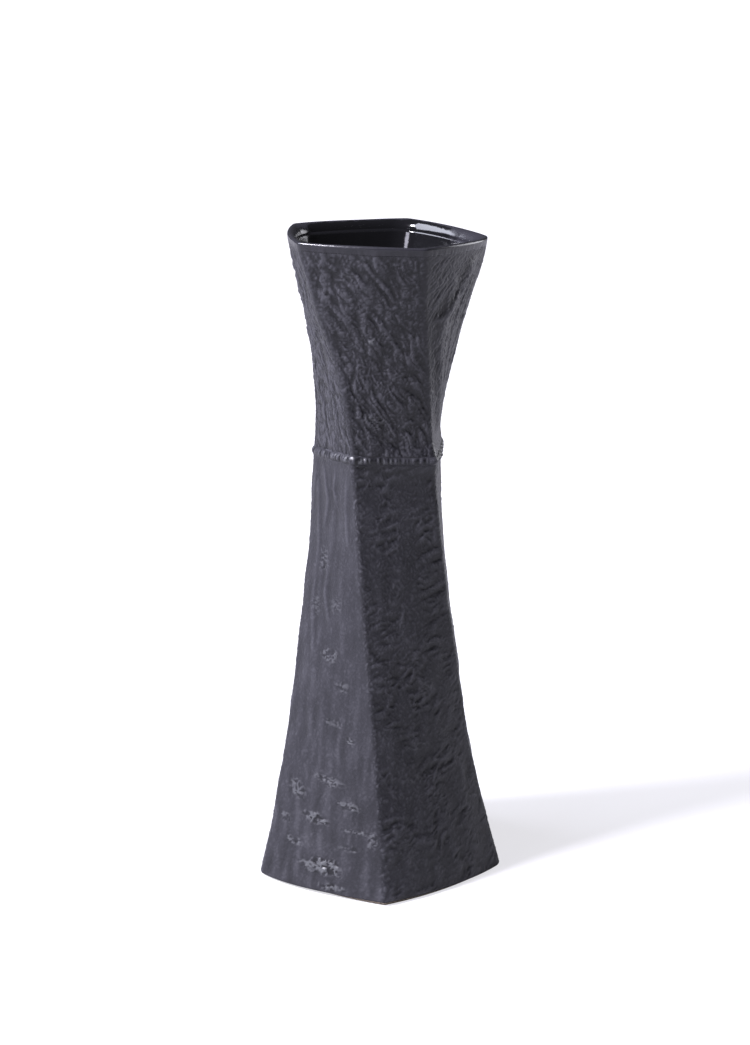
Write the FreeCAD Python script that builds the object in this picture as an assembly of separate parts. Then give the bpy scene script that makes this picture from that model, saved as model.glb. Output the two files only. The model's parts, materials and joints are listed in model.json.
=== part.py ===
import FreeCAD, Part
import math
import os

# Twisted five-sided stoneware vase, slab built from two stacks of five pressed clay panels.
# Millimetres, +Z up. The origin is on the vase's axis, in the plane that its foot rests on.
# At the base, the first corner points along -Y. Corners and panels count anticlockwise from above.

SIDES = 5
STEP = 360.0 / SIDES
HALF = math.radians(STEP / 2)

# Driving dimensions
HEIGHT = 380.0
WAIST_Z = 255.0

# Control values of the two stacks' cubic profiles, each from the stack's bottom to its top:
# the outline's radius to its sharp corners, and its turn about the axis in degrees
LOWER_RADII = (76.0, 53.0, 43.0, 40.0)
LOWER_TURNS = (0.0, -1.5, -15.0, -27.5)
UPPER_RADII = (40.0, 37.5, 50.0, 62.0)
UPPER_TURNS = (-27.5, -31.0, -51.5, -53.0)

# Values at the base, the waist and the mouth: outward bow of each side, rounding of each
# outer corner, and hollow radius of the coil that fills each inner corner
BOWS = (5.5, 0.8, 4.2)
CORNERS = (4.5, 3.0, 5.0)
HOLLOWS = (8.5, 5.0, 7.5)

# Clay and glaze thicknesses
WALL = 4.4
GLAZE = 0.5
FLOOR_THICKNESS = 7.0
FLOOR_COIL = 6.0

# The base slab's bare foot stands in from the walls' outside, and the walls stand on its rebate
FOOT_HEIGHT = 1.5
FOOT_RECESS = 3.0

# The waist's seam coil is pinched into a bead, and the lip coil into a soft round:
# each pair is a share of the coil's height, and an inset from the vase's outside
SEAM_HEIGHT = 4.0
SEAM_OUTSIDE = ((0.0, -0.3), (0.2, -1.7), (0.5, -2.3), (0.8, -1.7), (1.0, -0.3))
LIP_HEIGHT = 5.0
LIP_OUTSIDE = ((0.0, 0.0), (0.3, -0.4), (0.6, -0.3), (0.85, 0.5), (1.0, 1.7))
LIP_INSIDE = ((0.0, 4.9), (0.4, 4.9), (0.8, 4.5), (1.0, 3.2))

# The face of a corner coil is flatter than an arc that would run smoothly into both walls
COIL_FLATNESS = 0.7

# Levels between the pieces
FLOOR_TOP = FOOT_HEIGHT + FLOOR_THICKNESS
FLOOR_COIL_TOP = FLOOR_TOP + FLOOR_COIL
SEAM_BOTTOM = WAIST_Z - SEAM_HEIGHT / 2
SEAM_TOP = WAIST_Z + SEAM_HEIGHT / 2
LIP_BOTTOM = HEIGHT - LIP_HEIGHT

# Cross-sections that a loft takes along a stack, and along a short piece
STACK_SECTIONS = 9
SHORT_SECTIONS = 3


def cubic(controls, share):
    """Value of a cubic Bezier curve with four control values, at a share of its length."""
    rest = 1 - share
    weights = (rest ** 3, 3 * rest ** 2 * share, 3 * rest * share ** 2, share ** 3)
    return sum(weight * value for weight, value in zip(weights, controls))


def blend(start, end, share):
    return start + (end - start) * share


def levels(bottom, top, count):
    """Heights spread evenly from bottom to top, both included."""
    return [blend(bottom, top, index / (count - 1)) for index in range(count)]


class Outline:
    """The outside of the walls at height z: five bowed sides joined by rounded corners.

    An inset outline runs parallel to it inside the clay. Side number n follows corner number n.
    """

    def __init__(self, z):
        self.z = z
        if z <= WAIST_Z:
            share = z / WAIST_Z
            radii, turns, ends = LOWER_RADII, LOWER_TURNS, (0, 1)
        else:
            share = (z - WAIST_Z) / (HEIGHT - WAIST_Z)
            radii, turns, ends = UPPER_RADII, UPPER_TURNS, (1, 2)
        radius = cubic(radii, share)
        bow, corner, hollow = [blend(row[ends[0]], row[ends[1]], share) for row in (BOWS, CORNERS, HOLLOWS)]
        self.turn = cubic(turns, share)
        self.corner = corner
        self.hollow = hollow
        # A side is an arc about a point beyond the axis
        self.side_radius = ((radius * math.sin(HALF)) ** 2 + bow ** 2) / (2 * bow)
        self.side_back = self.side_radius - bow - radius * math.cos(HALF)

    def corner_centre(self, inset, rounding):
        """Distance from the axis to the centre of the arc that rounds a corner."""
        across = self.side_back * math.sin(HALF)
        reach = self.side_radius - inset - rounding
        return math.sqrt(reach ** 2 - across ** 2) - self.side_back * math.cos(HALF)

    def spread(self, inset, rounding):
        """Half of the angle that a side spans, between its rounded corners, about its own centre."""
        centre = self.corner_centre(inset, rounding)
        return math.atan2(centre * math.sin(HALF), centre * math.cos(HALF) + self.side_back)

    def point(self, x, y, number):
        """Point given along and across the direction of corner number."""
        angle = math.radians(self.turn - 90 + STEP * number)
        east = x * math.cos(angle) - y * math.sin(angle)
        north = x * math.sin(angle) + y * math.cos(angle)
        return FreeCAD.Vector(east, north, self.z)

    def side_point(self, inset, angle, number):
        """Point on a side, at an angle from the side's middle about the side's centre."""
        reach = self.side_radius - inset
        direction = HALF + angle
        x = reach * math.cos(direction) - self.side_back * math.cos(HALF)
        y = reach * math.sin(direction) - self.side_back * math.sin(HALF)
        return self.point(x, y, number)

    def corner_point(self, inset, rounding, share, number):
        """Point on a corner's arc, from its middle at share 0 to the next side at share 1."""
        angle = share * (HALF - self.spread(inset, rounding))
        x = self.corner_centre(inset, rounding) + rounding * math.cos(angle)
        return self.point(x, rounding * math.sin(angle), number)

    def side_edge(self, inset, start, end, number):
        """Stretch of a side between two angles from its middle."""
        angles = (start, (start + end) / 2, end)
        points = [self.side_point(inset, angle, number) for angle in angles]
        return Part.Arc(*points).toShape()

    def corner_edge(self, inset, rounding, start, end, number):
        """Stretch of a corner's arc between two shares of its half."""
        shares = (start, (start + end) / 2, end)
        points = [self.corner_point(inset, rounding, share, number) for share in shares]
        return Part.Arc(*points).toShape()

    def coil_edge(self, inset, number):
        """The face of a corner coil, from the next side to the one before."""
        rounding = self.hollow - (inset - WALL)
        spread = self.spread(inset, rounding)
        start = self.side_point(inset, -spread, number)
        end = self.side_point(inset, spread, number - 1)
        deepest = self.corner_point(inset, rounding, 0, number)
        middle = deepest + ((start + end) / 2 - deepest) * COIL_FLATNESS
        return Part.Arc(start, middle, end).toShape()

    def hollow_spread(self, inset):
        return self.spread(inset, self.hollow - (inset - WALL))


def outer_wire(z, inset):
    """Closed outline parallel to the outside, with its corners rounded from outside."""
    outline = Outline(z)
    rounding = outline.corner - inset
    spread = outline.spread(inset, rounding)
    edges = []
    for number in range(SIDES):
        edges.append(outline.corner_edge(inset, rounding, -1, 1, number))
        edges.append(outline.side_edge(inset, -spread, spread, number))
    return Part.Wire(edges)


def hollow_wire(z, inset):
    """Closed outline parallel to the inside, with the corner coils' faces."""
    outline = Outline(z)
    spread = outline.hollow_spread(inset)
    edges = []
    for number in reversed(range(SIDES)):
        edges.append(outline.side_edge(inset, spread, -spread, number))
        edges.append(outline.coil_edge(inset, number))
    return Part.Wire(edges)


def sharp_wire(z):
    """Closed outline of the walls' inside, before coils round its corners."""
    outline = Outline(z)
    spread = outline.spread(WALL, 0)
    return Part.Wire([outline.side_edge(WALL, -spread, spread, number) for number in range(SIDES)])


def panel_wire(z):
    """One wall panel's cross-section: mitred at both corners, with half of each rounding."""
    outline = Outline(z)
    spread = outline.spread(0, outline.corner)
    inner = outline.spread(WALL, 0)
    coil = outline.hollow_spread(WALL)
    first_tip = outline.corner_point(0, outline.corner, 0, 0)
    last_tip = outline.corner_point(0, outline.corner, 0, 1)
    edges = [
        outline.corner_edge(0, outline.corner, 0, 1, 0),
        outline.side_edge(0, -spread, spread, 0),
        outline.corner_edge(0, outline.corner, -1, 0, 1),
        Part.makeLine(last_tip, outline.side_point(WALL, inner, 0)),
        outline.side_edge(WALL, inner, coil, 0),
        outline.side_edge(WALL, coil, -coil, 0),
        outline.side_edge(WALL, -coil, -inner, 0),
        Part.makeLine(outline.side_point(WALL, -inner, 0), first_tip),
    ]
    return Part.Wire(edges)


def corner_coil_wire(z):
    """Cross-section of the clay coil smoothed into one inner corner."""
    outline = Outline(z)
    inner = outline.spread(WALL, 0)
    coil = outline.hollow_spread(WALL)
    edges = [
        outline.side_edge(WALL, -inner, -coil, 0),
        outline.coil_edge(WALL, 0),
        outline.side_edge(WALL, coil, inner, -1),
    ]
    return Part.Wire(edges)


def loft(wires):
    return Part.makeLoft(wires, True, False)


def profiled(wire, bottom, top, profile):
    """Solid whose outline is inset by a profile of (share of height, inset) pairs."""
    return loft([wire(blend(bottom, top, share), inset) for share, inset in profile])


def around(shape):
    """One copy of a shape for each side of the vase."""
    axis = FreeCAD.Vector(0, 0, 1)
    return [shape.rotated(FreeCAD.Vector(), axis, STEP * number) for number in range(SIDES)]


def panels(bottom, top):
    return around(loft([panel_wire(z) for z in levels(bottom, top, STACK_SECTIONS)]))


def corner_coils(bottom, top):
    return around(loft([corner_coil_wire(z) for z in levels(bottom, top, STACK_SECTIONS)]))


def base_slab():
    """Floor of the vase: a bare flat foot, with a step all round that the lower panels stand on."""
    foot = Part.Face(outer_wire(0, FOOT_RECESS)).extrude(FreeCAD.Vector(0, 0, FOOT_HEIGHT))
    floor = loft([sharp_wire(z) for z in levels(FOOT_HEIGHT, FLOOR_TOP, SHORT_SECTIONS)])
    return foot.fuse(floor)


def floor_cone(inset):
    """Space that the floor coil leaves, its sides sloping out to the walls at the coil's top."""
    narrow = hollow_wire(FLOOR_TOP + inset - WALL, inset + FLOOR_COIL)
    return loft([narrow, hollow_wire(FLOOR_COIL_TOP, inset)])


def floor_coil():
    """Coil of clay smoothed into the corner between the floor and the walls."""
    outside = loft([hollow_wire(z, WALL) for z in levels(FLOOR_TOP, FLOOR_COIL_TOP, SHORT_SECTIONS)])
    return outside.cut(floor_cone(WALL))


def hollow(inset):
    """Inside of the vase, parallel to its lining, from the floor to the lip coil."""
    lower = loft([hollow_wire(z, inset) for z in levels(FLOOR_COIL_TOP, WAIST_Z, STACK_SECTIONS)])
    upper = loft([hollow_wire(z, inset) for z in levels(WAIST_Z, LIP_BOTTOM, STACK_SECTIONS)])
    return floor_cone(inset).fuse([lower, upper])


def inner_glaze():
    return hollow(WALL).cut(hollow(WALL + GLAZE))


def waist_coil():
    """Seam coil between the two stacks, pinched out into a bead."""
    outside = profiled(outer_wire, SEAM_BOTTOM, SEAM_TOP, SEAM_OUTSIDE)
    inside = loft([hollow_wire(z, WALL) for z in levels(SEAM_BOTTOM, SEAM_TOP, SHORT_SECTIONS)])
    return outside.cut(inside)


def lip_coil():
    """Rounded lip that closes the tops of the panels, the corner coils and the lining."""
    outside = profiled(outer_wire, LIP_BOTTOM, HEIGHT, LIP_OUTSIDE)
    inside = profiled(hollow_wire, LIP_BOTTOM, HEIGHT, LIP_INSIDE)
    return outside.cut(inside)


def build():
    nodes = {
        "base_slab": base_slab(),
        "floor_coil": floor_coil(),
        "waist_coil": waist_coil(),
        "lip_coil": lip_coil(),
        "inner_glaze": inner_glaze(),
    }
    repeats = {
        "lower_panel": panels(FOOT_HEIGHT, SEAM_BOTTOM),
        "lower_corner_coil": corner_coils(FLOOR_TOP, SEAM_BOTTOM),
        "upper_panel": panels(SEAM_TOP, LIP_BOTTOM),
        "upper_corner_coil": corner_coils(SEAM_TOP, LIP_BOTTOM),
    }
    for name, copies in repeats.items():
        for number, shape in enumerate(copies, 1):
            nodes["%s_%d" % (name, number)] = shape
    return nodes


os.makedirs("parts", exist_ok=True)
for node, shape in build().items():
    shape.exportStep("parts/%s.step" % node)
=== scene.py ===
import json
import math
import bpy
import numpy as np
from mathutils import Matrix, Vector


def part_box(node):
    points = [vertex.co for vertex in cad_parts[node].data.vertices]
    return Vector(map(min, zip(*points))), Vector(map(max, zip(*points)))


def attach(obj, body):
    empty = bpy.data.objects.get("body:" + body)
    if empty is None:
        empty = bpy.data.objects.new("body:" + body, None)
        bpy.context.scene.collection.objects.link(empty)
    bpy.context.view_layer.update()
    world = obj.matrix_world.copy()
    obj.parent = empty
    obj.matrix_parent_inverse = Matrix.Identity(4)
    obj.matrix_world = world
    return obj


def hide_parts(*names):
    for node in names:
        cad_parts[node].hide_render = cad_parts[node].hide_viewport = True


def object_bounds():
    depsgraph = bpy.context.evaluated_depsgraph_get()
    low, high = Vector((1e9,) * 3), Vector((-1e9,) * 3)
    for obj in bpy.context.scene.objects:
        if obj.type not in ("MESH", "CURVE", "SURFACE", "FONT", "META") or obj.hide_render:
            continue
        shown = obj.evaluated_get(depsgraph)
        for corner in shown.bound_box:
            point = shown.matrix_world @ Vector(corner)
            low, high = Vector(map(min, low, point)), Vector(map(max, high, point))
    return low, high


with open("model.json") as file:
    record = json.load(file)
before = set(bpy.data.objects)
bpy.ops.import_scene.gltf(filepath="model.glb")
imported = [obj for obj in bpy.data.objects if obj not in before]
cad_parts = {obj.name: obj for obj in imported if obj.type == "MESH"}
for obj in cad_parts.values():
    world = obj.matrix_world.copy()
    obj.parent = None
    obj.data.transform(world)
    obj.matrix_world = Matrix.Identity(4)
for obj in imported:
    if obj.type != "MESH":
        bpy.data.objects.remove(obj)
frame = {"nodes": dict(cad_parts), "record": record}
cad_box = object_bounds()

# The stoneware vase's looks. Metres, in the frame of the CAD model: +Z up, origin under the axis.
# Corner 0 is the base corner towards -Y, corners count anticlockwise from above, and panel n
# runs from corner n to corner n + 1. Panel n is the CAD node numbered n + 1.

MM = 0.001
SIDES = 5
STEP = 2 * math.pi / SIDES
HALF = STEP / 2
QUARTER_TURN = math.pi / 2

# The driving dimensions of the CAD model. The corners' distances from the axis, and their turns
# in degrees, are the controls of a cubic from the base to the waist and of one from there to the
# mouth. How far the sides bow, and the roundings of the corners, are given at all three levels
HEIGHT = cad_box[1][2]
WAIST_Z = 255 * MM
LOWER_RADII = (76 * MM, 53 * MM, 43 * MM, 40 * MM)
LOWER_TURNS = (0.0, -1.5, -15.0, -27.5)
UPPER_RADII = (40 * MM, 37.5 * MM, 50 * MM, 62 * MM)
UPPER_TURNS = (-27.5, -31.0, -51.5, -53.0)
BOWS = (5.5 * MM, 0.8 * MM, 4.2 * MM)
CORNERS = (4.5 * MM, 3.0 * MM, 5.0 * MM)
WALL = 4.4 * MM
GLAZE = 0.5 * MM

# Levels between the pieces, from the CAD model
FOOT_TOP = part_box("lower_panel_1")[0].z
FLOOR_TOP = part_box("floor_coil")[0].z
FLOOR_COIL_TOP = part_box("floor_coil")[1].z
SEAM_BOTTOM, SEAM_TOP = [corner.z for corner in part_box("waist_coil")]
LIP_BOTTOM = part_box("lip_coil")[0].z

# At the same levels: the lining fills each inner corner with a rounder fillet than the coil behind
# it. The plain clay behind that coil meets at a nearly sharp corner
LINING_ROUNDINGS = (15.0 * MM, 9.0 * MM, 20.0 * MM)
CLAY_ROUNDING = 0.3 * MM

# Roundings of the panels' bottom edge, with its rows, and of the lip's outer edge
FOOT_ROUND = 1.6 * MM
FOOT_ROWS = 5
LIP_ROUND = 1.7 * MM

# Mesh spacing up the textured outside, and columns round each side
GRID = 0.75 * MM
LOWER_COLUMNS = 116
UPPER_COLUMNS = 100
LINING_COLUMNS = 60
BACK_COLUMNS = 8

# Hand-made unevenness: the seam rises and dips by this much at each corner
SEAM_SHIFTS = (1.7 * MM, 0.2 * MM, 0.4 * MM, -0.6 * MM, -2.0 * MM)
SEAM_SHIFT_REACH = 22 * MM
# so does the mouth
MOUTH_SHIFTS = (1.2 * MM, 1.0 * MM, -1.5 * MM, 0.0, 0.3 * MM)
MOUTH_SHIFT_REACH = 60 * MM
# one corner of the base stands forward, towards -Y
BASE_SHIFTS = (0.0, 0.0, 0.0, 0.0, 7.0 * MM)
BASE_SHIFT_REACH = 90 * MM
# one corner of the mouth was knocked blunt: the vase stops short of this far along +X
BLUNT_END = 60 * MM
BLUNT_SOFTNESS = 2 * MM
# the walls swell towards the seam by this much at each corner
SEAM_SWELLS = (0.3 * MM, 2.4 * MM, 0.9 * MM, 0.9 * MM, 0.2 * MM)
SEAM_SWELL_REACH = 7 * MM
# and they wobble in and out slowly
WOBBLE = 0.9 * MM
WOBBLE_SIZE = 55 * MM


# ---------------------------------------------------------------- repeatable noise

# The noise repeats after this many cells
CELLS = 256
RANDOM = np.random.default_rng(seed=17)
SHUFFLE = RANDOM.permutation(CELLS)
GRADIENTS = RANDOM.normal(size=(CELLS, 3))
GRADIENTS /= np.linalg.norm(GRADIENTS, axis=1)[:, None]
# The gain takes the noise to about plus or minus its peak
NOISE_GAIN = 1.6
NOISE_PEAK = 0.8
# Each finer layer reads a slice of the noise this far from the last one's
LAYER_SLICE = 9.3
# Ridges are the size of the noise, times this and less 1, which runs from -1 to about 1
RIDGE_GAIN = 3.4


def noise(x, y, z):
    """Smooth gradient noise between about -0.8 and 0.8, on arrays of the same shape."""
    point = np.stack(np.broadcast_arrays(x, y, z), -1)
    cell = np.floor(point).astype(int)
    inside = point - cell
    ease = inside ** 3 * (inside * (inside * 6 - 15) + 10)
    total = 0
    for corner in np.ndindex(2, 2, 2):
        pick = 0
        for place in np.moveaxis(cell + corner, -1, 0):
            pick = SHUFFLE[(pick + place) % CELLS]
        value = np.sum(GRADIENTS[pick] * (inside - corner), -1)
        weight = np.prod(np.where(corner, ease, 1 - ease), -1)
        total = total + value * weight
    return total * NOISE_GAIN


def layered(x, y, z, octaves):
    """Noise with finer and weaker layers added."""
    return sum(noise(x * 2 ** n, y * 2 ** n, z + LAYER_SLICE * n) / 2 ** n for n in range(octaves))


def smooth(low, high, value):
    """Eases from 0 at low to 1 at high."""
    share = np.clip((value - low) / (high - low), 0, 1)
    return share * share * (3 - 2 * share)


# ---------------------------------------------------------------- the vase's form


def cubic(controls, share):
    """Value of a cubic Bezier curve with four controls."""
    rest = 1 - share
    weights = (rest ** 3, 3 * rest ** 2 * share, 3 * rest * share ** 2, share ** 3)
    return sum(weight * value for weight, value in zip(weights, controls))


def by_height(z, row):
    """Value at each height, from those at the base, the waist and the mouth."""
    return np.interp(z, (0, WAIST_Z, HEIGHT), row)


class Outline:
    """The five-sided outline at an array of heights: bowed sides joined by rounded corners.

    Each side is an arc of side_radius, whose centre lies side_back behind the axis.
    """

    def __init__(self, z):
        low = np.clip(z / WAIST_Z, 0, 1)
        high = np.clip((z - WAIST_Z) / (HEIGHT - WAIST_Z), 0, 1)
        below = z <= WAIST_Z
        radius = np.where(below, cubic(LOWER_RADII, low), cubic(UPPER_RADII, high))
        turn = np.where(below, cubic(LOWER_TURNS, low), cubic(UPPER_TURNS, high))
        bow = by_height(z, BOWS)
        self.turn = np.radians(turn)
        self.side_radius = ((radius * math.sin(HALF)) ** 2 + bow ** 2) / (2 * bow)
        self.side_back = self.side_radius - bow - radius * math.cos(HALF)

    def corner_centre(self, inset, rounding):
        """Distance from the axis to the centre of a corner's rounding."""
        across = self.side_back * math.sin(HALF)
        reach = self.side_radius - inset - rounding
        return np.sqrt(reach ** 2 - across ** 2) - self.side_back * math.cos(HALF)


def one_side(shape, inset, rounding, columns):
    """Points along a side whose first corner is on +X, split evenly into columns.

    Returns x, y, each point's distance along the side, and the side's length, with a row for each
    height of the shape. The side's own end is left to the next side.
    """
    centre = shape.corner_centre(inset, rounding)
    spread = np.arctan2(centre * math.sin(HALF), centre * math.cos(HALF) + shape.side_back)
    reach = shape.side_radius - inset
    bend = rounding * (HALF - spread)
    length = 2 * bend + 2 * spread * reach
    along = np.arange(columns) / columns * length[:, None]
    bend, rounding, centre = bend[:, None], rounding[:, None], centre[:, None]
    back = shape.side_back[:, None]
    angle = np.minimum(along, bend) / rounding
    x_first, y_first = centre + rounding * np.cos(angle), rounding * np.sin(angle)
    angle = np.minimum(length[:, None] - along, bend) / rounding
    x_last, y_last = centre + rounding * np.cos(angle), -rounding * np.sin(angle)
    x_last, y_last = (x_last * math.cos(STEP) - y_last * math.sin(STEP),
                      x_last * math.sin(STEP) + y_last * math.cos(STEP))
    angle = HALF - spread[:, None] + (along - bend) / reach[:, None]
    x_side = reach[:, None] * np.cos(angle) - back * math.cos(HALF)
    y_side = reach[:, None] * np.sin(angle) - back * math.sin(HALF)
    first, last = along < bend, length[:, None] - along < bend
    x = np.where(first, x_first, np.where(last, x_last, x_side))
    y = np.where(first, y_first, np.where(last, y_last, y_side))
    return x, y, along, length


def ring(z, inset, rounding, columns):
    """Points round the vase, one row per height, each side split evenly into columns.

    Returns the points, shaped rows by 5 * columns by 3, and each point's distance along its side
    from the side's first corner, with the side's length.
    """
    shape = Outline(z)
    x, y, along, length = one_side(shape, inset, rounding, columns)
    sides = []
    for number in range(SIDES):
        turn = shape.turn[:, None] - QUARTER_TURN + STEP * number
        sides.append(np.stack([x * np.cos(turn) - y * np.sin(turn),
                               x * np.sin(turn) + y * np.cos(turn), z[:, None] + 0 * x], -1))
    return np.concatenate(sides, 1), along, length


def round_values(values, columns):
    """One value per column, eased between values given at the five corners."""
    ease = smooth(0, 1, np.arange(columns) / columns)
    ends = np.roll(values, -1)
    return np.concatenate([start + (end - start) * ease for start, end in zip(values, ends)])


def directions(points):
    """Outward directions of a grid of points that closes round the vase."""
    across = np.roll(points, -1, 1) - np.roll(points, 1, 1)
    up = np.gradient(points, axis=0)
    out = np.cross(across, up)
    return out / np.linalg.norm(out, axis=2)[..., None]


def unevenness(points, columns):
    """How far the outside stands out of its ideal form: a slow wobble, and the swell at the seam."""
    x, y, z = np.moveaxis(points / WOBBLE_SIZE, -1, 0)
    swell = round_values(SEAM_SWELLS, columns)
    height = points[..., 2] - WAIST_Z
    return WOBBLE * noise(x, y, z) + swell * np.exp(-(height / SEAM_SWELL_REACH) ** 2)


def settle(points, columns):
    """Lets the seam, the mouth and the base stray a little, and blunts one corner of the mouth."""
    z = points[..., 2]
    height = z - WAIST_Z
    rise = round_values(SEAM_SHIFTS, columns) * np.exp(-(height / SEAM_SHIFT_REACH) ** 2)
    rise += round_values(MOUTH_SHIFTS, columns) * smooth(HEIGHT - MOUTH_SHIFT_REACH, HEIGHT, z)
    forward = round_values(BASE_SHIFTS, columns) * (1 - smooth(0, BASE_SHIFT_REACH, z))
    past_end = (points[..., 0] - BLUNT_END) / BLUNT_SOFTNESS
    blunt = np.where(height > 0, BLUNT_SOFTNESS * np.log1p(np.exp(past_end)), 0)
    return points + np.stack([-blunt, -forward, rise], -1)


# ---------------------------------------------------------------- pressed relief

# Each use of the noise reads its own slice of it, at the panel's seed plus one of these
FINE_SLICE, PATCHY_SLICE, SWAY_SLICE = 3.0, 9.0, 20.0
RAGGED_SLICE, WRINKLE_SLICE, WAVE_SLICE = 30.0, 35.0, 40.0
BEND_SLICE, SLIDE_SLICE = 50.0, 70.0

# Folds bend sideways and slide lengthwise by these shares of their size, changing across and along
# at these rates beside their own. Their valleys are this round
FOLD_BEND, BEND_RATES = 0.9, (0.45, 0.8)
FOLD_SLIDE, SLIDE_RATES = 0.5, (0.6, 0.9)
VALLEY_ROUNDING = 0.003
# The coarse ones are this much wider than the fine ones, and both add up by these shares
COARSE_SPACING = 2.1
COARSE_SHARE, FINE_SHARE = 0.6, 0.5
# They sway by this much over these distances across and up the panel, and come and go over those
SWAY = 4 * MM
SWAY_SIZES = (28 * MM, 36 * MM)
PATCHY_SIZES = (13 * MM, 19 * MM)
PATCHY_EDGE = 0.3
# Above this level they may sweep to the right
SWEEP_Z = 300 * MM

# Creases fade in and out over this length, and have this share of the folds' sway
CREASE_END = 12 * MM
CREASE_SWAY = 0.5

# Wrinkles in the crumpled patches: their height, and their sizes across and up
WRINKLE_DEPTH = 0.3 * MM
WRINKLE_SIZES = (4.4 * MM, 1.9 * MM)
# how much and how fast they wave, how sharp they are, and their lowest level
WRINKLE_WAVE, WAVE_RATE = 0.8, 0.7
WRINKLE_GAIN = 3.2
WRINKLE_VALLEY = -0.6
# The patches' ragged edges, and the share of a patch over which it fades
RAGGED = 0.35
RAGGED_SIZES = (5 * MM, 3 * MM)
PATCH_FADE = 0.6

# Sizes of the dents, round the vase and up it, and of the fine crumpling, with how much it bends
DENT_SIZES = (13 * MM, 22 * MM)
CRUMPLE_SIZE = 2.1 * MM
CRUMPLE_BEND = 0.6
# What is left of the dents and the crumpling on the corners themselves
SHARED_DENTS = 0.50 * MM
SHARED_CRUMPLE = 0.14 * MM

# The relief fades out over these distances from a panel's corners, at the base, the waist and the
# mouth, and from its ends
CORNER_FADES = (3 * MM, 3 * MM, 8 * MM)
END_FADE = 1.5 * MM
# On the upper panels it grows to its full strength above the seam, and weakens near the lip
SEAM_STRENGTH = 0.75
SEAM_FADE = 40 * MM
LIP_LOSS = 0.4
LIP_FADE = 5 * MM

# A crest stands about this far above a valley, and is told from it over this many mesh steps
CREST_HEIGHT = 0.5 * MM
CREST_SOFTENING = 20
# Neither crest nor valley
LEVEL = 0.5


def folds(across, along, spacing, stretch, seed):
    """Soft folds with thin valleys between them, from -1 to about 1, longer than they are wide."""
    a, b = across / spacing, along / (spacing * stretch)
    bent = a + FOLD_BEND * noise(a * BEND_RATES[0], b * BEND_RATES[1], seed + BEND_SLICE)
    slid = b + FOLD_SLIDE * noise(a * SLIDE_RATES[0], b * SLIDE_RATES[1], seed + SLIDE_SLICE)
    value = noise(bent, slid, seed)
    return np.sqrt(value * value + VALLEY_ROUNDING) * RIDGE_GAIN - 1


def crease(u, v, path, width):
    """A soft ridge, 1 high, along an upward path of (across, up) points in millimetres."""
    across, up = np.array(path).T * MM
    beside = (u - np.interp(v, up, across)) / width
    ends = smooth(up[0], up[0] + CREASE_END, v) * smooth(-up[-1], CREASE_END - up[-1], -v)
    return np.exp(-beside ** 2) * ends


def crumples(points):
    """Dents and fine crumpling, from the place in space so that they carry on round corners."""
    x, y, z = np.moveaxis(points, -1, 0)
    dents = layered(x / DENT_SIZES[0], y / DENT_SIZES[0], z / DENT_SIZES[1], 2)
    x, y, z = np.moveaxis(points / CRUMPLE_SIZE, -1, 0)
    fine = np.abs(noise(x + CRUMPLE_BEND * noise(x / 2, y / 2, z / 2), y, z))
    return dents, fine * RIDGE_GAIN - 1


class Panel:
    """The relief that was pressed into one clay panel.

    seed is where it reads the noise. lean is how far the folds tip from upright, in degrees, to
    the right as seen from outside, and sweep how fast they bend further right above SWEEP_Z.
    spacing is that of the fine folds, stretch their length over their width, and depth the height
    of all folds. crest is 1 for raised folds with thin valleys, -1 for thin raised lines. patchy
    is the share of the folds that comes and goes. dents and crumple are depths. creases are single
    long ridges, each a path, a width and a height. crumpled are patches of close wrinkles, each a
    place across and up the panel, a half width and a half height in millimetres, and a strength.
    """

    def __init__(self, seed, lean, spacing, stretch, depth, crest, patchy, dents, crumple,
                 sweep=0.0, creases=(), crumpled=()):
        self.seed, self.lean, self.spacing, self.stretch = seed, math.radians(lean), spacing, stretch
        self.depth, self.crest, self.patchy = depth, crest, patchy
        self.dents, self.crumple, self.sweep = dents, crumple, sweep
        self.creases, self.crumpled = creases, crumpled

    def relief(self, u, v):
        """Height of the folds, creases and wrinkles at u across the panel and v up it."""
        sway = SWAY * noise(u / SWAY_SIZES[0], v / SWAY_SIZES[1], self.seed + SWAY_SLICE)
        straight = u - self.sweep * np.maximum(v - SWEEP_Z, 0) ** 2 + sway
        across = straight * math.cos(self.lean) - v * math.sin(self.lean)
        along = straight * math.sin(self.lean) + v * math.cos(self.lean)
        coarse = folds(across, along, self.spacing * COARSE_SPACING, self.stretch, self.seed)
        fine = folds(across, along, self.spacing, self.stretch, self.seed + FINE_SLICE)
        here = noise(u / PATCHY_SIZES[0], v / PATCHY_SIZES[1], self.seed + PATCHY_SLICE)
        share = 1 - self.patchy + self.patchy * smooth(-PATCHY_EDGE, PATCHY_EDGE, here)
        height = self.crest * (COARSE_SHARE * coarse + FINE_SHARE * fine) * share * self.depth
        for path, width, tall in self.creases:
            height = height + tall * crease(u + CREASE_SWAY * sway, v, path, width)
        return height + WRINKLE_DEPTH * self.wrinkles(u, v)

    def wrinkles(self, u, v):
        """Close wrinkles in the crumpled patches: 0 outside them, up to their strength on crests."""
        if not self.crumpled:
            return 0 * u
        ragged = layered(u / RAGGED_SIZES[0], v / RAGGED_SIZES[1], self.seed + RAGGED_SLICE, 2)
        inside = 0 * u
        for place, level, wide, tall, strength in self.crumpled:
            away = np.hypot((u / MM - place) / wide, (v / MM - level) / tall)
            patch = strength * smooth(0, PATCH_FADE, 1 - away + RAGGED * ragged)
            inside = np.maximum(inside, patch)
        a, b = u / WRINKLE_SIZES[0], v / WRINKLE_SIZES[1]
        waved = b + WRINKLE_WAVE * noise(a * WAVE_RATE, b * WAVE_RATE, self.seed + WAVE_SLICE)
        lines = 1 - WRINKLE_GAIN * np.abs(layered(a, waved, self.seed + WRINKLE_SLICE, 2))
        return inside * np.clip(lines, WRINKLE_VALLEY, 1)


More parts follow.
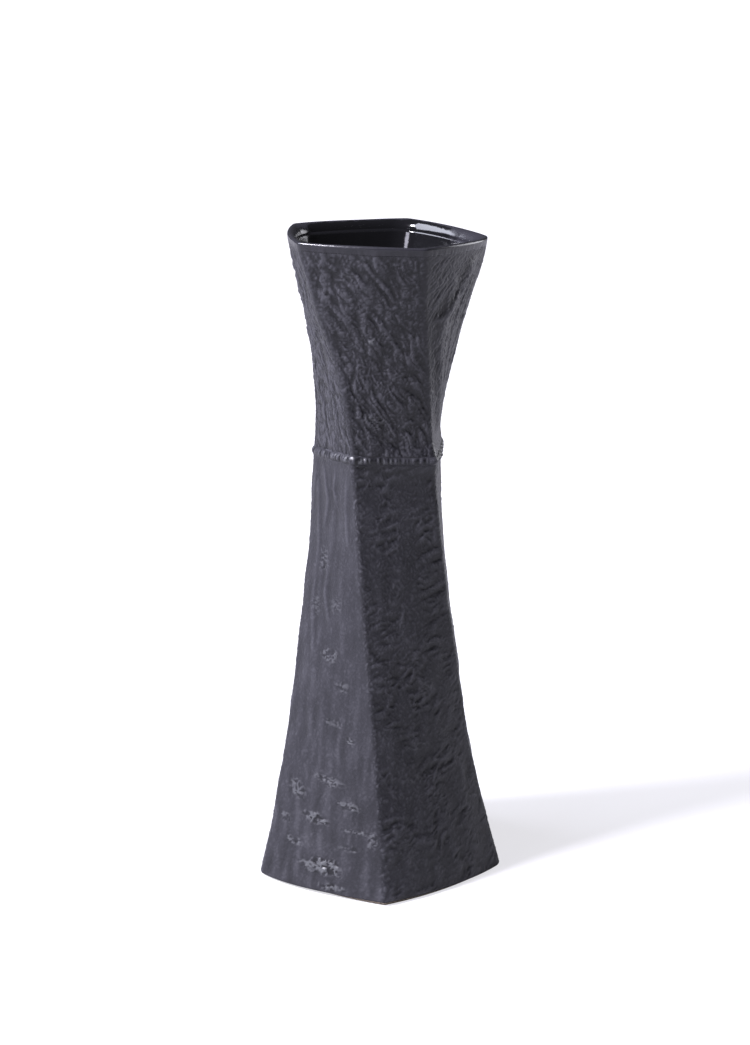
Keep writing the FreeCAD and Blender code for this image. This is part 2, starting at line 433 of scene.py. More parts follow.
LOWER_PANELS = (
    Panel(1.5, 70, 2.7 * MM, 2.2, 0.32 * MM, -1, patchy=0.85, dents=0.45 * MM, crumple=0.08 * MM,
          crumpled=((5, 121, 8, 5, 0.35), (-6, 89, 9, 5, 0.3), (-10, 70, 10, 5, 0.3),
                    (14, 88, 8, 12, 0.25), (-22, 30, 10, 10, 0.25))),
    Panel(31.5, 62, 2.8 * MM, 2.3, 0.34 * MM, -1, patchy=0.7, dents=0.50 * MM, crumple=0.10 * MM),
    Panel(61.5, 25, 2.8 * MM, 2.6, 0.30 * MM, 1, patchy=0.6, dents=0.50 * MM, crumple=0.10 * MM),
    Panel(91.5, -65, 2.8 * MM, 2.4, 0.34 * MM, -1, patchy=0.7, dents=0.50 * MM, crumple=0.10 * MM),
    Panel(121.5, 3, 5.0 * MM, 5.0, 0.09 * MM, -1, patchy=0.6, dents=0.45 * MM, crumple=0.05 * MM,
          creases=((((-12, 130), (-16, 165), (-13, 200), (-15, 243)), 2.1 * MM, 0.32 * MM),
                   (((1, 152), (-4, 175), (0, 198)), 1.7 * MM, 0.30 * MM),
                   (((12, 135), (10, 170), (14, 215)), 2.8 * MM, 0.30 * MM),
                   (((-21, 215), (-18, 250)), 1.7 * MM, 0.36 * MM),
                   (((-9, 208), (-4, 230), (-8, 252)), 1.8 * MM, 0.36 * MM),
                   (((6, 222), (3, 236), (7, 252)), 1.6 * MM, 0.36 * MM),
                   (((17, 200), (15, 225), (18, 250)), 1.8 * MM, 0.30 * MM),
                   (((9, 70), (8, 85), (13, 112)), 2.6 * MM, 0.26 * MM),
                   (((-19, 70), (-12, 90), (-12, 110)), 2.4 * MM, 0.24 * MM)),
          crumpled=((1, 139, 8, 6, 0.7), (11, 122, 7, 4, 0.7), (4, 100, 9, 2.5, 0.5),
                    (17, 92, 4, 3, 1.0), (3, 66, 13, 3.5, 0.8), (18, 54, 12, 3, 0.8),
                    (-20, 56, 8, 7, 0.7), (-6, 43, 12, 4, 1.4), (24, 40, 13, 1.6, 0.8),
                    (2, 17, 19, 6, 1.5), (-28, 38, 5, 4, 0.6), (-20, 27, 7, 3, 0.8),
                    (19, 30, 9, 2.5, 0.7), (12, 6, 12, 2.5, 1.0), (34, 36, 4, 6, 0.8),
                    (-6, 193, 7, 8, 0.5), (-12, 166, 6, 8, 0.4), (6, 170, 8, 6, 0.35))),
)
UPPER_PANELS = (
    Panel(14.5, -20, 3.0 * MM, 3.0, 0.62 * MM, 1, patchy=0.45, dents=1.00 * MM, crumple=0.20 * MM,
          crumpled=((-4, 327, 5, 3, 1.0), (-10, 362, 5, 2.5, 0.6), (-9, 279, 8, 6, 0.5),
                    (-3, 270, 6, 5, 0.4))),
    Panel(41.5, 8, 2.7 * MM, 2.4, 0.36 * MM, -1, patchy=0.6, dents=0.50 * MM, crumple=0.14 * MM,
          sweep=9.0,
          creases=((((-8, 262), (-12, 300), (-16, 325), (-14, 338), (3, 352), (20, 374)),
                    5.5 * MM, 2.0 * MM),
                   (((-3, 262), (-6, 300), (-9, 322), (-6, 336), (9, 350), (27, 374)),
                    1.3 * MM, 0.5 * MM),
                   (((3, 272), (1, 305), (0, 328), (9, 344), (24, 364)), 1.3 * MM, 0.5 * MM),
                   (((8, 285), (9, 318), (18, 340), (29, 358)), 1.4 * MM, 0.5 * MM),
                   (((14, 275), (15, 300), (22, 325)), 1.4 * MM, 0.4 * MM))),
    Panel(71.5, -10, 2.9 * MM, 2.5, 0.40 * MM, 1, patchy=0.4, dents=0.60 * MM, crumple=0.13 * MM),
    Panel(101.5, 15, 2.9 * MM, 2.5, 0.40 * MM, 1, patchy=0.4, dents=0.60 * MM, crumple=0.13 * MM),
    Panel(131.5, -4, 3.0 * MM, 2.5, 0.70 * MM, 1, patchy=0.35, dents=0.80 * MM, crumple=0.18 * MM),
)


def panel_places(z, along, length):
    """Places across a panel, from its middle, and up it, for each point of a grid."""
    u = along - length[:, None] / 2
    return u, z[:, None] + 0 * u


def pressed(panels, points, along, length, strength):
    """Relief of a whole stack of panels, with the strength of it in each row."""
    z = points[:, 0, 2]
    u, v = panel_places(z, along, length)
    own = smooth(0, by_height(z, CORNER_FADES)[:, None], np.minimum(along, length[:, None] - along))
    columns = along.shape[1]
    sides = []
    for number, panel in enumerate(panels):
        dents, crumple = crumples(points[:, number * columns:(number + 1) * columns])
        height = panel.relief(u, v) * own
        height = height + dents * (panel.dents * own + SHARED_DENTS * (1 - own))
        height = height + crumple * (panel.crumple * own + SHARED_CRUMPLE * (1 - own))
        sides.append(height * strength[:, None])
    return np.concatenate(sides, 1)


def painted_sheens(panels, z, along, length):
    """Painted sheen on the crumpled patches, where the glaze is painted paler as if catching the
    light: 0 outside them, up to 1.
    """
    u, v = panel_places(z, along, length)
    return np.concatenate([np.clip(panel.wrinkles(u, v), 0, 1) for panel in panels], 1)


def crests(height):
    """Where the surface stands above its surroundings: from 0 in valleys to 1 on crests."""
    around = height
    for _ in range(CREST_SOFTENING):
        around = (np.roll(around, 1, 1) + 2 * around + np.roll(around, -1, 1)) / 4
        ends = np.concatenate([around[:1], around, around[-1:]])
        around = (ends[:-2] + 2 * around + ends[2:]) / 4
    return np.clip(LEVEL + (height - around) / CREST_HEIGHT, 0, 1)


# ---------------------------------------------------------------- meshes


def in_scene(name, data):
    """A new object in the scene, with its data."""
    item = bpy.data.objects.new(name, data)
    bpy.context.scene.collection.objects.link(item)
    return item


def new_piece(name, verts, faces, material, node):
    """A smooth piece of the vase that stands for a CAD node."""
    mesh = bpy.data.meshes.new(name)
    mesh.from_pydata(verts.reshape(-1, 3).tolist(), [], faces)
    mesh.validate()
    mesh.shade_smooth()
    mesh.materials.append(material)
    piece = in_scene(name, mesh)
    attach(piece, "root")
    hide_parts(node)
    return piece


def numbered(rows, columns, first=0):
    """Vertex numbers of a grid."""
    return first + np.arange(rows * columns).reshape(rows, columns)


def grid_faces(index):
    """Quads of a grid of vertex numbers, facing out where columns run anticlockwise and rows up."""
    a, b, c, d = index[:-1, :-1], index[:-1, 1:], index[1:, 1:], index[1:, :-1]
    return np.stack([a, b, c, d], -1).reshape(-1, 4).tolist()


def closed_columns(index):
    """The grid with its first column again at the end, so that its faces close round the vase."""
    return np.concatenate([index, index[:, :1]], 1)


def side_columns(number, columns):
    """Columns of one side of a whole ring, with the first one of the next side."""
    return np.arange(number * columns, (number + 1) * columns + 1) % (SIDES * columns)


def set_values(piece, name, values, rest):
    """Stores a value at each point for the material. Points past the given ones get the rest."""
    every = np.full(len(piece.data.vertices), float(rest))
    every[:values.size] = values.ravel()
    piece.data.attributes.new(name, "FLOAT", "POINT").data.foreach_set("value", every)


def mark_flat(piece, faces):
    """Gives faces their own flat shading, apart from the smooth surface that they end."""
    flat = np.zeros(len(piece.data.polygons), bool)
    flat[faces] = True
    piece.data.attributes.new("sharp_face", "BOOLEAN", "FACE").data.foreach_set("value", flat)


def set_normals(mesh, normals, quads):
    """Shades the first faces, which are quads, by their points' normals, and the rest as they are."""
    corners = np.zeros(len(mesh.loops), int)
    mesh.loops.foreach_get("vertex_index", corners)
    loops = np.zeros((len(corners), 3))
    loops[:4 * quads] = normals[corners[:4 * quads]]
    mesh.normals_split_custom_set(loops.tolist())


def panel_piece(name, node, outside, normals, inside, material):
    """One wall panel as a closed solid: relief outside, plain clay inside, mitred at both ends."""
    front = numbered(*outside.shape[:2])
    back = numbered(*inside.shape[:2], front.size)
    faces = grid_faces(front)
    outside_faces = len(faces)
    faces += grid_faces(back[:, ::-1])
    faces += grid_faces(np.stack([front[:, -1], back[:, -1]], 1))
    faces += grid_faces(np.stack([back[:, 0], front[:, 0]], 1))
    faces.append(front[-1].tolist() + back[-1, ::-1].tolist())
    faces.append(back[0].tolist() + front[0, ::-1].tolist())
    verts = np.concatenate([outside.reshape(-1, 3), inside.reshape(-1, 3)])
    piece = new_piece(name, verts, faces, material, node)
    mark_flat(piece, slice(outside_faces, None))
    set_normals(piece.data, normals.reshape(-1, 3), outside_faces)
    return piece


def stack(name, panels, z, inset, strength, columns, material):
    """The five panels of one stack. z, inset and the relief's strength give the outside's rows.

    Returns the relief of the top row.
    """
    points, along, length = ring(z, inset, by_height(z, CORNERS) - inset, columns)
    relief = pressed(panels, points, along, length, strength * smooth(0, END_FADE, z - z[0]))
    outside = points + directions(points) * (unevenness(points, columns) + relief)[..., None]
    outside = settle(outside, columns)
    normals = directions(outside)
    # The crests are painted lighter and the valleys darker in the glaze, as painted light and painted
    # shade
    crest = crests(relief)
    # The crumpled patches get a painted sheen: a paler colour and a glossier finish
    painted_sheen = painted_sheens(panels, z, along, length)
    inner, _, _ = ring(z, np.full_like(z, WALL), np.full_like(z, CLAY_ROUNDING), BACK_COLUMNS)
    inside = settle(inner, BACK_COLUMNS)
    for number in range(SIDES):
        pick, pick_back = side_columns(number, columns), side_columns(number, BACK_COLUMNS)
        node = "%s_panel_%d" % (name, number + 1)
        piece = panel_piece("pressed_" + node, node, outside[:, pick], normals[:, pick],
                            inside[:, pick_back], material)
        set_values(piece, "crest", crest[:, pick], LEVEL)
        set_values(piece, "painted_sheen", painted_sheen[:, pick], 0)
    return relief[-1]


def lower_stack(material):
    """The lower panels, from their rounded bottom edge to the seam."""
    bends = np.linspace(0, QUARTER_TURN, FOOT_ROWS, endpoint=False)
    z = np.concatenate([FOOT_TOP + FOOT_ROUND * (1 - np.cos(bends)),
                        np.arange(FOOT_TOP + FOOT_ROUND, SEAM_BOTTOM, GRID), [SEAM_BOTTOM]])
    inset = np.concatenate([FOOT_ROUND * (1 - np.sin(bends)), np.zeros(len(z) - len(bends))])
    strength = smooth(0, END_FADE, SEAM_BOTTOM - z)
    stack("lower", LOWER_PANELS, z, inset, strength, LOWER_COLUMNS, material)


def upper_stack(material):
    """The upper panels, whose relief carries on into the lip. Returns its top row."""
    z = np.append(np.arange(SEAM_TOP, LIP_BOTTOM - GRID / 2, GRID), LIP_BOTTOM)
    strength = SEAM_STRENGTH + (1 - SEAM_STRENGTH) * smooth(0, SEAM_FADE, z - SEAM_TOP)
    strength = strength - LIP_LOSS * smooth(-LIP_FADE, 0, z - LIP_BOTTOM)
    return stack("upper", UPPER_PANELS, z, np.zeros_like(z), strength, UPPER_COLUMNS, material)


def hoop(name, node, material, points, smooth_rows):
    """A ring whose cross-section closes: rows run round the section, columns round the vase.

    The first smooth_rows rows of faces are smooth, and the rest, inside the clay, are flat.
    """
    rows, columns = points.shape[:2]
    index = numbered(rows, columns)
    index = closed_columns(np.concatenate([index, index[:1]]))
    piece = new_piece(name, points, grid_faces(index), material, node)
    mark_flat(piece, slice(smooth_rows * columns, None))
    return piece


# The bead of the seam laps this far over the panels above and below it
SEAM_OVERLAP = 1.1 * MM
BEAD_ROWS = 23
# how far it stands proud at each corner, with the share of that by which its edges sink in
BEAD_PROUD = (1.4 * MM, 1.2 * MM, 1.0 * MM, 1.3 * MM, 0.9 * MM)
BEAD_SINK = 0.5
# the sizes of its lumps and of the finer marks on them, round the vase and up it
LUMP_SIZES = (3.4 * MM, 20 * MM)
MARK_SIZES = (1.6 * MM, 9 * MM)
LUMP_SLICE, MARK_SLICE = 3.5, 8.5
LUMPINESS, MARK_SHARE = 0.8, 0.5
# and how strongly its marks are painted pale as highlights at each corner, from nowhere to everywhere
# between these values of the marks and of the bead's profile
BEAD_HIGHLIGHT = (0.7, 0.25, 0.25, 0.25, 0.3)
HIGHLIGHT_MARKS = (0.05, 0.45)
HIGHLIGHT_PROFILE = (0.3, 1.0)


def bead_noise(points, sizes, seed):
    """Noise that runs slowly up the bead."""
    x, y, z = np.moveaxis(points, -1, 0)
    return noise(x / sizes[0], y / sizes[0], seed + z / sizes[1])


def seam_bead(material):
    """The coil pinched round the waist, with a row of lumps left by fingers."""
    share = np.linspace(0, 1, BEAD_ROWS)
    z = SEAM_BOTTOM - SEAM_OVERLAP + (SEAM_TOP - SEAM_BOTTOM + 2 * SEAM_OVERLAP) * share
    columns = LOWER_COLUMNS
    points, _, _ = ring(z, np.zeros_like(z), by_height(z, CORNERS), columns)
    marks = bead_noise(points, MARK_SIZES, MARK_SLICE)
    lumps = bead_noise(points, LUMP_SIZES, LUMP_SLICE) + MARK_SHARE * marks
    profile = (1 + BEAD_SINK) * np.sin(math.pi * share)[:, None] - BEAD_SINK
    proud = profile * round_values(BEAD_PROUD, columns)
    height = unevenness(points, columns) + LUMPINESS * proud * (1 + lumps)
    outside = settle(points + directions(points) * height[..., None], columns)
    inner, _, _ = ring(z[[-1, 0]], np.full(2, WALL), np.full(2, CLAY_ROUNDING), columns)
    section = np.concatenate([outside, settle(inner, columns)])
    bead = hoop("seam_bead", "waist_coil", material, section, len(z) - 1)
    # The lumps are painted lighter on crests and darker in valleys as light and shade, and the marks
    # on top get painted highlights
    set_values(bead, "crest", crests(proud * lumps), LEVEL)
    pale = round_values(BEAD_HIGHLIGHT, columns) * smooth(*HIGHLIGHT_MARKS, marks)
    set_values(bead, "painted_sheen", pale * smooth(*HIGHLIGHT_PROFILE, profile), 0)


# The satin glaze laps over the rim at the mouth's two narrow ends: it starts and is whole this far
# from the middle along X, and this far below the rim
SATIN_FROM, SATIN_WHOLE = 34 * MM, 50 * MM
SATIN_BOTTOM, SATIN_TOP = 15 * MM, 7 * MM

# Rows of the lip's straight outside, its outer round and its inner one
LIP_ROWS = (5, 12, 27)
# Past this inset its corners widen to the lining's, and this far below the rim it has no relief
LIP_WIDENING = 0.8 * MM
LIP_SMOOTH = 0.5 * MM
# The gloss glaze starts and is whole at these shares of the lip's width
LIP_GLOSS = (0.4, 0.8)


def gloss_share(points, share):
    """Share of the black gloss glaze, less what the satin glaze laps over."""
    ends = smooth(SATIN_FROM, SATIN_WHOLE, np.abs(points[..., 0]))
    return share * (1 - ends * smooth(HEIGHT - SATIN_BOTTOM, HEIGHT - SATIN_TOP, points[..., 2]))


def lip_profile():
    """Heights and insets of the lip's section: straight, a tight round, then a wide soft one.

    The wide one's rows lie closer together towards its low end.
    """
    straight_rows, outer_rows, inner_rows = LIP_ROWS
    straight = np.linspace(LIP_BOTTOM, HEIGHT - LIP_ROUND, straight_rows, endpoint=False)
    outer = np.linspace(0, QUARTER_TURN, outer_rows)
    inner = QUARTER_TURN * np.sin(np.linspace(0, QUARTER_TURN, inner_rows + 1))[1:]
    width = WALL + GLAZE
    z = np.concatenate([straight, HEIGHT - LIP_ROUND + LIP_ROUND * np.sin(outer),
                        LIP_BOTTOM + (HEIGHT - LIP_BOTTOM) * np.cos(inner)])
    inset = np.concatenate([0 * straight, LIP_ROUND * (1 - np.cos(outer)),
                            LIP_ROUND + (width - LIP_ROUND) * np.sin(inner)])
    return z, inset


def rounded_lip(material, relief):
    """The lip, with the relief of the panels carried on over its outer side."""
    z, inset = lip_profile()
    width = inset[-1]
    corner = by_height(z, CORNERS) - inset
    lining_corner = by_height(z, LINING_ROUNDINGS) - GLAZE
    rounding = corner + (lining_corner - corner) * smooth(LIP_WIDENING, width, inset)
    points, _, _ = ring(z, inset, rounding, UPPER_COLUMNS)
    outside = 1 - smooth(0, width, inset)[:, None]
    fading = 1 - smooth(LIP_BOTTOM, HEIGHT - LIP_SMOOTH, z)[:, None]
    height = (unevenness(points, UPPER_COLUMNS) + relief * fading) * outside
    section = settle(points + directions(points) * height[..., None], UPPER_COLUMNS)
    piece = hoop("rounded_lip", "lip_coil", material, section, len(z) - 1)
    gloss = smooth(*LIP_GLOSS, inset / width)[:, None]
    set_values(piece, "gloss", gloss_share(section, gloss), 0)


# The lining's glaze ripples by this much, over this distance, and fully this far below the lip
RIPPLE = 0.35 * MM
RIPPLE_SIZE = 34 * MM
RIPPLE_FADE = 12 * MM
# Rows of its wall above the waist and below it, and of its fillet. Its back has fewer
LINING_ROWS = (59, 80)
FILLET_ROWS = 8
WALL_ROWS_PER_BACK = 4
FILLET_ROWS_PER_BACK = 2
# Rings of its floor, as shares of the radius where its fillet ends
FLOOR_RINGS = (0.85, 0.7, 0.5, 0.3, 0.12)
# The back of the fillet stands this share of its distance from the axis further out
FILLET_SPREAD = 1 / 60


def lining_wall():
    """The lining's glazed wall from the lip down to the floor coil, and its back, up again."""
    z = np.concatenate([np.linspace(LIP_BOTTOM, WAIST_Z, LINING_ROWS[0], endpoint=False),
                        np.linspace(WAIST_Z, FLOOR_COIL_TOP, LINING_ROWS[1])])
    rounding = by_height(z, LINING_ROUNDINGS)
    wall, _, _ = ring(z, np.full_like(z, WALL + GLAZE), rounding - GLAZE, LINING_COLUMNS)
    back_z, back_rounding = z[::-WALL_ROWS_PER_BACK], rounding[::-WALL_ROWS_PER_BACK]
    back, _, _ = ring(back_z, np.full_like(back_z, WALL), back_rounding, LINING_COLUMNS)
    wall, back = settle(wall, LINING_COLUMNS), settle(back, LINING_COLUMNS)
    x, y, height = np.moveaxis(wall / RIPPLE_SIZE, -1, 0)
    ripple = RIPPLE * (noise(x, y, height) - NOISE_PEAK)
    ripple = ripple * smooth(0, RIPPLE_FADE, LIP_BOTTOM - wall[..., 2])
    return wall + directions(wall) * ripple[..., None], back


def lining_floor(foot):
    """The lining's fillet from the foot of its wall, its floor, and their underside, outwards."""
    turns = np.linspace(0, QUARTER_TURN, FILLET_ROWS + 1)[1:, None]
    depth = FLOOR_COIL_TOP - FLOOR_TOP
    reach = foot.copy()
    reach[:, :2] *= 1 - depth / np.linalg.norm(foot[:, :2], axis=1)[:, None]
    fillet = foot + (reach - foot) * (1 - np.cos(turns))[..., None]
    fillet[..., 2] = foot[:, 2] - (depth - GLAZE) * np.sin(turns)
    rings = fillet[-1] * [1, 1, 0] * np.array(FLOOR_RINGS)[:, None, None]
    rings = rings + [0, 0, fillet[-1, 0, 2]]
    spread = [1 + FILLET_SPREAD, 1 + FILLET_SPREAD, 1]
    glaze = [0, 0, GLAZE]
    back = np.concatenate([rings[::-1] - glaze, fillet[::-FILLET_ROWS_PER_BACK] * spread - glaze])
    return np.concatenate([fillet, rings]), back


def lining(material):
    """The gloss glaze inside: a closed skin from the lip down to the floor and back up behind."""
    wall, wall_back = lining_wall()
    bottom, bottom_back = lining_floor(wall[-1])
    rows = np.concatenate([wall, bottom])
    rows_back = np.concatenate([bottom_back, wall_back])
    index = numbered(*rows.shape[:2])
    index_back = numbered(*rows_back.shape[:2], index.size)
    shown = grid_faces(closed_columns(index))
    faces = shown + grid_faces(closed_columns(index_back))
    faces += grid_faces(closed_columns(np.stack([index_back[-1], index[0]])))
    faces.append(index[-1].tolist())
    faces.append(index_back[0, ::-1].tolist())
    verts = np.concatenate([rows.reshape(-1, 3), rows_back.reshape(-1, 3)])
    piece = new_piece("gloss_lining", verts, faces, material, "inner_glaze")
    set_values(piece, "gloss", gloss_share(verts, 1), 1)
    mark_flat(piece, slice(len(shown), None))


# ---------------------------------------------------------------- materials

# The satin charcoal glaze pooled in valleys with painted shade, lying evenly, thinned on crests with
# painted light, and its painted sheen
POOLED_AND_SHADED = (0.010, 0.010, 0.012)
CHARCOAL = (0.0210, 0.0207, 0.0255)
THINNED_AND_LIT = (0.045, 0.0445, 0.053)
PAINTED_SHEEN_COLOUR = (0.080, 0.082, 0.088)
# The black gloss glaze
BLACK = (0.0055, 0.0055, 0.0065)
# Bare clay's specks, its body and its dry highlights
SPECK = (0.10, 0.075, 0.055)
BUFF = (0.42, 0.34, 0.27)
PALE_BUFF = (0.50, 0.42, 0.34)

# Roughness of the satin glaze from valley to crest, and on its painted sheen
SATIN_ROUGHNESS = (0.32, 0.44)
PAINTED_SHEEN_ROUGHNESS = 0.26
# of the black glaze from its satin edge to full gloss, and of bare clay over its mottling
GLOSS_ROUGHNESS = (0.22, 0.10)
CLAY_ROUGHNESS = (0.75, 0.92)

# Most values of a noise texture lie between these
TEXTURE_RANGE = (0.3, 0.7)


class Nodes:
    """A material's node tree, with one shader and object coordinates to work from."""

    def __init__(self, name):
        self.material = bpy.data.materials.new(name)
        self.material.use_nodes = True
        self.tree = self.material.node_tree
        self.shader = self.tree.nodes["Principled BSDF"]
        self.place = self.add("ShaderNodeTexCoord").outputs["Object"]

    def add(self, kind, **sockets):
        """A node. Sockets are named with _ for each space."""
        node = self.tree.nodes.new(kind)
        for name, value in sockets.items():
            node.inputs[name.replace("_", " ")].default_value = value
        return node

    def link(self, output, socket):
        self.tree.links.new(output, socket)

    def surface(self, colour, roughness, ior=None):
        """Gives the shader its linked colour and roughness, and its refractive index."""
        self.link(colour, self.shader.inputs["Base Color"])
        self.link(roughness, self.shader.inputs["Roughness"])
        if ior:
            self.shader.inputs["IOR"].default_value = ior

    def stored(self, name):
        """The value that the mesh has at each point."""
        node = self.add("ShaderNodeAttribute")
        node.attribute_name = name
        return node.outputs["Fac"]

    def texture(self, scale, detail, roughness):
        """Noise in object space, with so many cells to a metre."""
        node = self.add("ShaderNodeTexNoise", Scale=scale, Detail=detail, Roughness=roughness)
        self.link(self.place, node.inputs["Vector"])
        return node.outputs["Fac"]

    def ramp(self, source, low, high, first, last):
        """Maps a value between low and high to one between first and last."""
        node = self.add("ShaderNodeMapRange", From_Min=low, From_Max=high, To_Min=first, To_Max=last)
        self.link(source, node.inputs["Value"])
        return node.outputs["Result"]

    def mottling(self, scale, detail, roughness, first, last):
        """A texture whose usual values run from first to last."""
        return self.ramp(self.texture(scale, detail, roughness), *TEXTURE_RANGE, first, last)

    def added(self, first, second):
        """The sum of two values."""
        node = self.add("ShaderNodeMath")
        self.link(first, node.inputs[0])
        self.link(second, node.inputs[1])
        return node.outputs["Value"]

    def mixed(self, share, colour, other):
        """A colour that turns to another one as share goes from 0 to 1."""
        node = self.add("ShaderNodeMix")
        node.data_type = "RGBA"
        self.link(share, node.inputs["Factor"])
        self.link(colour, node.inputs["A"])
        node.inputs["B"].default_value = (*other, 1)
        return node.outputs["Result"]

    def blended(self, share, value, other):
        """A value that turns to another one as share goes from 0 to 1."""
        node = self.add("ShaderNodeMix", B=other)
        self.link(share, node.inputs["Factor"])
        self.link(value, node.inputs["A"])
        return node.outputs["Result"]

    def colours(self, source, *stops):
        """A colour ramp, each stop a position and a colour."""
        node = self.add("ShaderNodeValToRGB")
        elements = node.color_ramp.elements
        while len(elements) < len(stops):
            elements.new(0.5)
        for element, (position, colour) in zip(elements, stops):
            element.position = position
            element.color = (*colour, 1)
        self.link(source, node.inputs["Fac"])
        return node.outputs["Color"]

    def bumps(self, *layers):
        """A chain of bump layers, each a height, a distance and a strength."""
        normal = None
        for height, distance, strength in layers:
            bump = self.add("ShaderNodeBump", Distance=distance, Strength=strength)
            self.link(height, bump.inputs["Height"])
            if normal:
                self.link(normal, bump.inputs["Normal"])
            normal = bump.outputs["Normal"]
        self.link(normal, self.shader.inputs["Normal"])


def charcoal_glaze():
    """Satin charcoal glaze, paler on crests and near black in the valleys, partly from the glaze
    thinning and pooling and partly as painted light and painted shade, with painted sheen on the
    crumpled patches.
    """
    n = Nodes("charcoal_glaze")
    # crest paints light on the crests and shade in the valleys, besides the glaze's own thinning and
    # pooling
    thin = n.added(n.stored("crest"), n.mottling(45, 4, 0.55, -0.10, 0.10))
    colour = n.colours(thin, (0.1, POOLED_AND_SHADED), (0.5, CHARCOAL), (0.9, THINNED_AND_LIT))
    # The painted sheen makes the crumpled patches paler and glossier
    painted_sheen = n.stored("painted_sheen")
    satin = n.ramp(thin, 0.1, 0.9, *SATIN_ROUGHNESS)
    n.surface(n.mixed(painted_sheen, colour, PAINTED_SHEEN_COLOUR), n.blended(painted_sheen, satin, PAINTED_SHEEN_ROUGHNESS), ior=1.45)
    n.bumps((n.texture(900, 3, 0.6), 0.3 * MM, 0.12), (n.texture(380, 2, 0.5), 0.5 * MM, 0.20))
    return n.material


def black_glaze():
    """Black gloss glaze, which turns to the satin charcoal over the rim."""
    n = Nodes("black_glaze")
    ragged = n.mottling(180, 3, 0.6, -0.3, 0.3)
    share = n.ramp(n.added(n.stored("gloss"), ragged), 0.35, 0.65, 0, 1)
    colour = n.colours(share, (0.0, CHARCOAL), (1.0, BLACK))
    n.surface(colour, n.ramp(share, 0, 1, *GLOSS_ROUGHNESS), ior=1.5)
    n.bumps((n.texture(300, 2, 0.5), 0.4 * MM, 0.15), (n.texture(90, 2, 0.5), 1.2 * MM, 0.2))
    return n.material


def bare_clay():
    """Unglazed buff stoneware, speckled and dry."""
    n = Nodes("bare_clay")
    colour = n.colours(n.texture(900, 2, 0.7), (0.32, SPECK), (0.40, BUFF), (0.7, PALE_BUFF))
    n.surface(colour, n.mottling(200, 3, 0.5, *CLAY_ROUGHNESS))
    n.bumps((n.texture(1200, 4, 0.6), 0.3 * MM, 0.5))
    return n.material


# ---------------------------------------------------------------- stage, light and camera

# How strongly the room and the floor light the vase, and how bright the camera sees them
ROOM_LIGHT, ROOM_SEEN = 0.05, 1.3
FLOOR_LIGHT, FLOOR_SEEN = 0.0, 0.68
FLOOR_SIZE = 3.0

SUN_FROM = (-1.0, -0.38, 1.08)
SUN_SPREAD = math.radians(11)
SUN_STRENGTH = 9.0
# All softboxes point at the vase's middle
MIDDLE = (0, 0, HEIGHT / 2)

# The camera stands this far from the axis, turned from -Y by the azimuth, and looks down by the
# pitch. The yaw points it slightly off the axis, and the roll tips it
CAMERA_DISTANCE = 1.232
CAMERA_HEIGHT = 0.574
CAMERA_AZIMUTH = math.radians(3.2)
CAMERA_PITCH = math.radians(16.45)
CAMERA_YAW = math.radians(0.16)
CAMERA_ROLL = math.radians(0.46)
LENS = 75.6
SENSOR = 36


def seen_or_lit(tree, as_light, to_camera):
    """A strength that differs between what the camera sees and what lights the vase."""
    rays = tree.nodes.new("ShaderNodeLightPath")
    strength = tree.nodes.new("ShaderNodeMapRange")
    strength.inputs["To Min"].default_value = as_light
    strength.inputs["To Max"].default_value = to_camera
    tree.links.new(rays.outputs["Is Camera Ray"], strength.inputs["Value"])
    return strength.outputs["Result"]


def floor():
    """A white floor that glows faintly, as a light table does, so that the shadow stays pale."""
    mesh = bpy.data.meshes.new("floor")
    size = FLOOR_SIZE
    mesh.from_pydata([(-size, -size, 0), (size, -size, 0), (size, size, 0), (-size, size, 0)], [],
                     [(0, 1, 2, 3)])
    material = bpy.data.materials.new("white_floor")
    material.use_nodes = True
    tree = material.node_tree
    shader = tree.nodes["Principled BSDF"]
    shader.inputs["Base Color"].default_value = (0.27, 0.27, 0.28, 1)
    shader.inputs["Roughness"].default_value = 0.9
    shader.inputs["Emission Color"].default_value = (0.97, 0.96, 1.0, 1)
    strength = seen_or_lit(tree, FLOOR_LIGHT, FLOOR_SEEN)
    tree.links.new(strength, shader.inputs["Emission Strength"])
    mesh.materials.append(material)
    stage = in_scene("floor", mesh)


def look_at(place, target):
    """Rotation that points an object's -Z at the target, with its Y up."""
    return (Vector(target) - Vector(place)).to_track_quat("-Z", "Y").to_euler()


def softbox(name, place, width, height, power, colour, mirrored=True):
    """A rectangular light on the vase. When it isn't mirrored, glossy surfaces don't show it."""
    light = bpy.data.lights.new(name, "AREA")
    light.shape = "RECTANGLE"
    light.size = width
    light.size_y = height
    light.energy = power
    light.color = colour
    lamp = in_scene(name, light)
    lamp.location = place
    lamp.rotation_euler = look_at(place, MIDDLE)
    lamp.visible_camera = False
    lamp.visible_glossy = mirrored


def room():
    """A white room: bright to the camera, and dimmer as a light."""
    world = bpy.data.worlds.new("studio")
    world.use_nodes = True
    tree = world.node_tree
    background = tree.nodes["Background"]
    background.inputs["Color"].default_value = (0.95, 0.95, 1.0, 1)
    tree.links.new(seen_or_lit(tree, ROOM_LIGHT, ROOM_SEEN), background.inputs["Strength"])
    bpy.context.scene.world = world


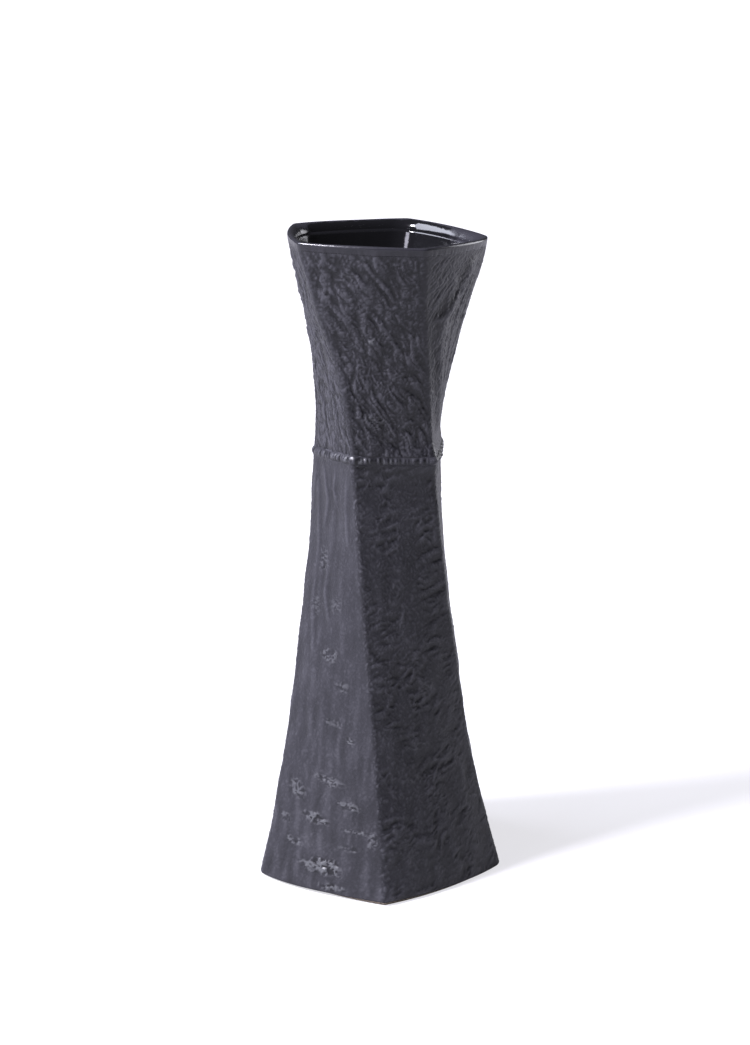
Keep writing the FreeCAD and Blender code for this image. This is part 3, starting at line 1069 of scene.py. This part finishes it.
def lights():
    """A wide sun from the left, and four softboxes round the vase."""
    sun = bpy.data.lights.new("sun", "SUN")
    sun.energy = SUN_STRENGTH
    sun.color = (0.92, 0.90, 1.0)
    sun.angle = SUN_SPREAD
    in_scene("sun", sun).rotation_euler = look_at(SUN_FROM, (0, 0, 0))
    softbox("key_softbox", place=(-1.2, 0.1, 1.2), width=0.8, height=0.8, power=24,
            colour=(0.84, 0.86, 1.0))
    softbox("high_softbox", place=(0.9, -0.9, 1.5), width=0.5, height=0.5, power=8,
            colour=(0.97, 0.97, 1.0), mirrored=False)
    softbox("front_softbox", place=(-1.5, -1.5, 0.95), width=0.45, height=0.5, power=9,
            colour=(0.86, 0.84, 1.0))
    softbox("right_softbox", place=(1.4, 0.8, 0.6), width=0.9, height=0.9, power=12,
            colour=(0.93, 0.93, 1.0))


def camera():
    """A long lens in front of the vase and a little above it."""
    data = bpy.data.cameras.new("camera")
    data.sensor_fit = "VERTICAL"
    data.sensor_height = SENSOR
    data.lens = LENS
    place = Vector((-CAMERA_DISTANCE * math.sin(CAMERA_AZIMUTH),
                    -CAMERA_DISTANCE * math.cos(CAMERA_AZIMUTH), CAMERA_HEIGHT))
    turn = Matrix.Rotation(CAMERA_YAW - CAMERA_AZIMUTH, 4, "Z")
    tilt = Matrix.Rotation(QUARTER_TURN - CAMERA_PITCH, 4, "X")
    roll = Matrix.Rotation(CAMERA_ROLL, 4, "Z")
    item = in_scene("camera", data)
    item.matrix_world = Matrix.Translation(place) @ turn @ tilt @ roll
    bpy.context.scene.camera = item


def dress_bare_clay(material):
    """Gives the CAD nodes of bare clay, which stay, their material."""
    for entry in frame["record"]["subparts"]:
        if entry["material_slot"] == "bare_clay":
            materials = frame["nodes"][entry["node"]].data.materials
            materials.clear()
            materials.append(material)


def main():
    charcoal, black, clay = charcoal_glaze(), black_glaze(), bare_clay()
    lower_stack(charcoal)
    seam_bead(charcoal)
    top_relief = upper_stack(charcoal)
    rounded_lip(black, top_relief)
    lining(black)
    dress_bare_clay(clay)
    floor()
    room()
    lights()
    camera()
    bpy.context.scene.view_settings.view_transform = "Standard"


main()
